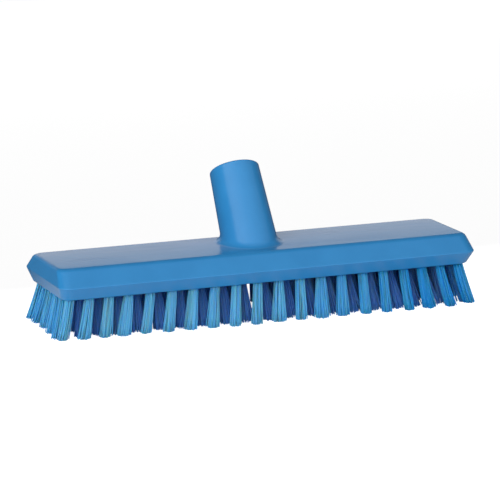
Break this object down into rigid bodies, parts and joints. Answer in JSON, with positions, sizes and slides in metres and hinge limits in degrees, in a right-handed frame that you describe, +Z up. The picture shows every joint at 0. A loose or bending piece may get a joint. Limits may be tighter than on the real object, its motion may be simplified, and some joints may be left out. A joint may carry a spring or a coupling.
{
  "type": "floor scrub brush",
  "caption": "Floor scrub brush head: a long moulded block with sloping sides, flared tufts of stiff bristle below and a round handle socket leaning back from its middle.",
  "frame": {"origin": "centre of the head's bounding box, on the plane of the bristle tips that it stands on", "axes": "+X along the block, +Y towards the side that the handle socket leans to, +Z up"},
  "size_m": [0.275, 0.083, 0.0928],
  "materials": {
    "block": "satin injection-moulded polypropylene, mid blue",
    "bristle": "satin polyester filament, light blue"
  },
  "bodies": {
    "root": {"block": "block", "handle_socket": "block", "front_tuft_01": "bristle", "front_tuft_02": "bristle", "front_tuft_03": "bristle", "front_tuft_04": "bristle", "front_tuft_05": "bristle", "front_tuft_06": "bristle", "front_tuft_07": "bristle", "front_tuft_08": "bristle", "front_tuft_09": "bristle", "front_tuft_10": "bristle", "front_tuft_11": "bristle", "front_tuft_12": "bristle", "front_tuft_13": "bristle", "front_tuft_14": "bristle", "front_tuft_15": "bristle", "front_tuft_16": "bristle", "front_tuft_17": "bristle", "front_tuft_18": "bristle", "front_tuft_19": "bristle", "front_tuft_20": "bristle", "back_tuft_01": "bristle", "back_tuft_02": "bristle", "back_tuft_03": "bristle", "back_tuft_04": "bristle", "back_tuft_05": "bristle", "back_tuft_06": "bristle", "back_tuft_07": "bristle", "back_tuft_08": "bristle", "back_tuft_09": "bristle", "back_tuft_10": "bristle", "back_tuft_11": "bristle", "back_tuft_12": "bristle", "back_tuft_13": "bristle", "back_tuft_14": "bristle", "back_tuft_15": "bristle", "back_tuft_16": "bristle", "back_tuft_17": "bristle", "back_tuft_18": "bristle", "back_tuft_19": "bristle", "back_tuft_20": "bristle", "back_tuft_21": "bristle", "row_2_left_bristles": "bristle", "row_2_right_bristles": "bristle", "row_3_left_bristles": "bristle", "row_3_right_bristles": "bristle", "row_4_left_bristles": "bristle", "row_4_right_bristles": "bristle", "row_5_left_bristles": "bristle", "row_5_right_bristles": "bristle"}
  },
  "joints": []
}
